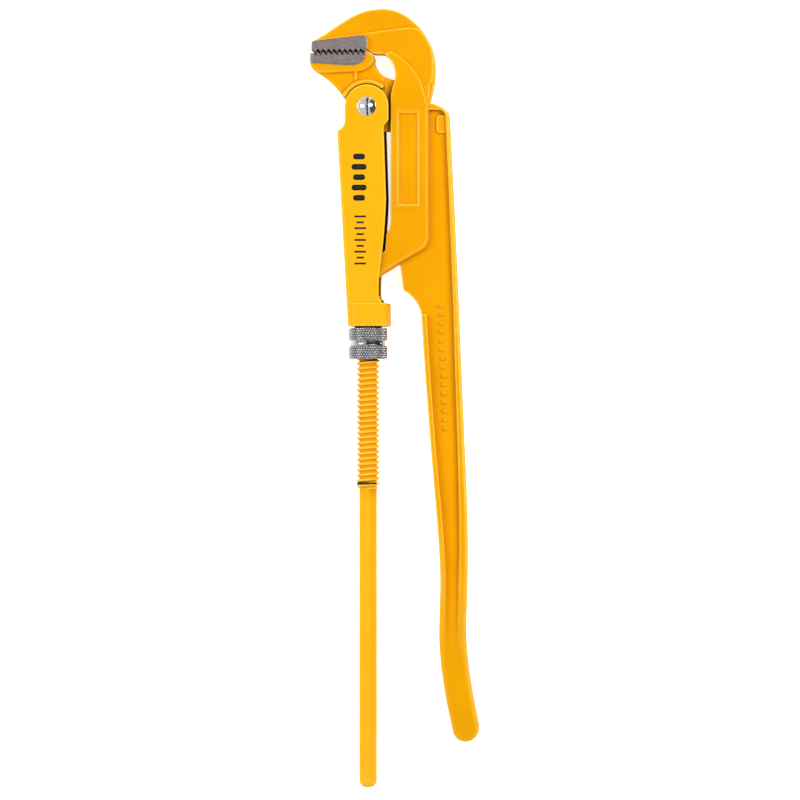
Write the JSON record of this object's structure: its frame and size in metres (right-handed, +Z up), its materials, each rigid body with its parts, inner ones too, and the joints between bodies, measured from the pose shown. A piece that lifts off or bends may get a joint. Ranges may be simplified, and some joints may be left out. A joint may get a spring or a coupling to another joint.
{
  "type": "pipe wrench",
  "caption": "Swedish-pattern pipe wrench with right-angle toothed jaws, a forged I-section handle, and a screwed rod handle with a captive knurled nut.",
  "frame": {"origin": "centre of the bounding box's base: the tool lies flat on its nut and the back head of its jaw rivet", "axes": "+Y along the length towards the jaws, +X from the jaw mouth towards the forged handle, +Z up through the tool's thickness"},
  "size_m": [0.118, 0.5446, 0.0291],
  "materials": {
    "yellow_paint": "semi-gloss",
    "zinc": "bright zinc plate",
    "chrome": "polished",
    "black_wire": "black oxide",
    "plain_steel": "bare"
  },
  "bodies": {
    "arm": {"main_arm": "yellow_paint", "rod_pivot_pin": "plain_steel"},
    "rod": {"threaded_rod": "yellow_paint", "stop_ring": "black_wire"},
    "housing": {"slide_housing": "yellow_paint", "jaw_rivet": "chrome", "thrust_washer": "plain_steel", "nut_retaining_ring": "black_wire"},
    "nut": {"adjusting_nut": "zinc", "nut_clip": "black_wire"},
    "jaw": {"lower_jaw": "yellow_paint"}
  },
  "joints": [
    {"name": "rod_pivot", "type": "hinge", "parent": "arm", "child": "rod", "pos_m": [-0.019, 0.09119, 0.0136], "axis": [0, 0, 1], "range_deg": [-2, 0]},
    {"name": "jaw_adjust", "type": "slide", "parent": "rod", "child": "housing", "axis": [0, -1, 0], "range_m": [0, 0.075]},
    {"name": "nut_turn", "type": "hinge", "parent": "housing", "child": "nut", "pos_m": [-0.019, 0.03848, 0.0136], "axis": [0, -1, 0], "range_deg": [0, 7240]},
    {"name": "jaw_rock", "type": "hinge", "parent": "housing", "child": "jaw", "pos_m": [-0.019, 0.20378, 0.0136], "axis": [0, 0, 1], "range_deg": [0, 7.75]}
  ],
  "couplings": [
    {"joint": "nut_turn", "follows": "jaw_adjust", "rad_per_m": 1684.5},
    {"joint": "jaw_rock", "follows": "rod_pivot", "ratio": -3.86}
  ]
}
